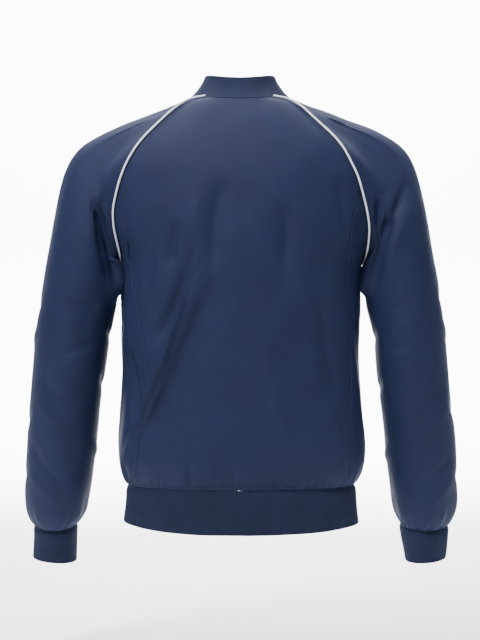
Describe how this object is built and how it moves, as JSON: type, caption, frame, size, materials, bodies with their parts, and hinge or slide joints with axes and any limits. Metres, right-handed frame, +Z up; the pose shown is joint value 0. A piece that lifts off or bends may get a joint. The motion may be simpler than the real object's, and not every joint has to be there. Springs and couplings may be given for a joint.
{
  "type": "track jacket",
  "caption": "Raglan zip jacket, filled out as if worn, with side panels, pale piping in the raglan seams and ribbed collar, cuffs and hem.",
  "frame": {"origin": "middle of the neck opening, level with the side neck points", "axes": "+Z up, the back faces +Y, the front faces -Y, the wearer's left sleeve is on +X"},
  "size_m": [0.6689, 0.254, 0.7437],
  "materials": {
    "cloth_navy": "smooth brushed-back warp knit with a soft sheen",
    "rib_navy": "matt ribbed knit",
    "piping_pale": "smooth pale piping",
    "tape_navy": "woven zip tape",
    "zip_plastic": "moulded teeth",
    "zip_metal": "satin painted"
  },
  "bodies": {
    "jacket": {"back": "cloth_navy", "side_left": "cloth_navy", "side_right": "cloth_navy", "front_left": "cloth_navy", "front_right": "cloth_navy", "sleeve_left": "cloth_navy", "sleeve_right": "cloth_navy", "collar": "rib_navy", "hem_band": "rib_navy", "cuff_left": "rib_navy", "cuff_right": "rib_navy", "piping_left": "piping_pale", "piping_right": "piping_pale", "zip_tape_left": "tape_navy", "zip_tape_right": "tape_navy", "zip_chain": "zip_plastic", "zip_box": "zip_plastic", "zip_slider": "zip_metal"},
    "zip_pull": {"zip_pull": "zip_metal"}
  },
  "joints": [
    {"name": "pull_swing", "type": "hinge", "parent": "jacket", "child": "zip_pull", "pos_m": [0, -0.07297, -0.04342], "axis": [-1, 0, 0], "range_deg": [0, 150]}
  ]
}
